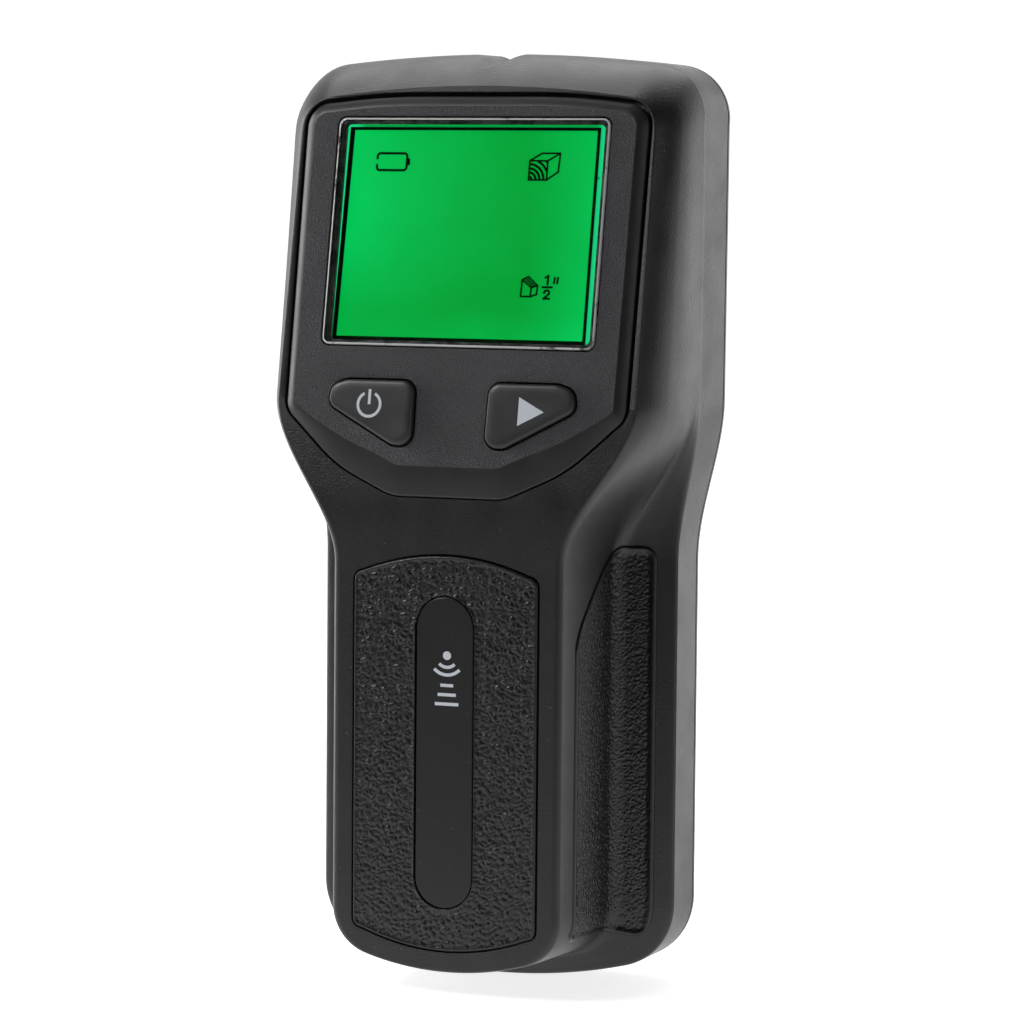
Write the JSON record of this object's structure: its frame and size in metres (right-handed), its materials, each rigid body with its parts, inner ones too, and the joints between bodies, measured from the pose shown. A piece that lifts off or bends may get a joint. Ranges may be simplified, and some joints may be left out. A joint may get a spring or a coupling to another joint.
{
  "type": "stud finder",
  "caption": "Hand-held stud finder: display head leaning back over a waisted grip with leather-grain pads, two keys and a battery door in the flat back.",
  "frame": {"origin": "below the middle of the tool, at the height of its lowest point", "axes": "+Z from the grip to the head, +Y out of the flat sensing back, -Y out of the display, +X to the right of someone facing the display"},
  "size_m": [0.0762, 0.0353, 0.1609],
  "materials": {
    "housing": "fine moulded grain, matt black",
    "display_tile": "spark-eroded texture, charcoal black",
    "keys": "smooth satin black",
    "grip_rubber": "leather grain",
    "strip": "smooth satin black",
    "window": "polished clear acrylic",
    "lcd": "green backlit liquid crystal panel",
    "backlight": "milky white",
    "foam": "fine foam",
    "circuit_board": "green solder mask",
    "black_parts": "moulded black",
    "red_insulation": "red wire insulation",
    "copper": "bare copper foil and winding",
    "ribbon": "flat cable film",
    "battery_jacket": "printed steel jacket, plain",
    "screws": "zinc plated"
  },
  "bodies": {
    "housing": {"backlight_led_left": "backlight", "backlight_led_right": "backlight", "battery_9v": "battery_jacket", "black_lead": "black_parts", "board_screw_1": "screws", "board_screw_2": "screws", "buzzer": "black_parts", "contact_strip": "foam", "controller_chip": "black_parts", "display_gasket": "foam", "display_window": "window", "face_plate": "display_tile", "front_grip": "grip_rubber", "front_shell": "housing", "lcd_holder": "backlight", "lcd_panel": "lcd", "light_guide": "backlight", "main_board": "circuit_board", "name_strip": "strip", "power_switch": "black_parts", "rear_shell": "housing", "red_lead": "red_insulation", "select_switch": "black_parts", "sensor_board": "circuit_board", "sensor_coil": "copper", "sensor_plate_left": "copper", "sensor_plate_right": "copper", "sensor_ribbon": "ribbon", "sensor_screw_1": "screws", "sensor_screw_2": "screws", "shell_screw_1": "screws", "shell_screw_2": "screws", "shell_screw_3": "screws", "shell_screw_4": "screws", "side_grip_left": "grip_rubber", "side_grip_right": "grip_rubber", "snap_connector": "black_parts"},
    "power_key": {"power_button": "keys", "power_plunger": "black_parts"},
    "select_key": {"select_button": "keys", "select_plunger": "black_parts"},
    "door": {"battery_door": "housing"}
  },
  "joints": [
    {"name": "power_press", "type": "slide", "parent": "housing", "child": "power_key", "axis": [0, 0.9841, -0.1775], "range_m": [0, 0.0007], "stiffness_N_per_m": 2500},
    {"name": "select_press", "type": "slide", "parent": "housing", "child": "select_key", "axis": [0, 0.9841, -0.1775], "range_m": [0, 0.0007], "stiffness_N_per_m": 2500},
    {"name": "door_hinge", "type": "hinge", "parent": "housing", "child": "door", "pos_m": [0, 0.0159, 0.0102], "axis": [-1, 0, 0], "range_deg": [0, 75]}
  ]
}
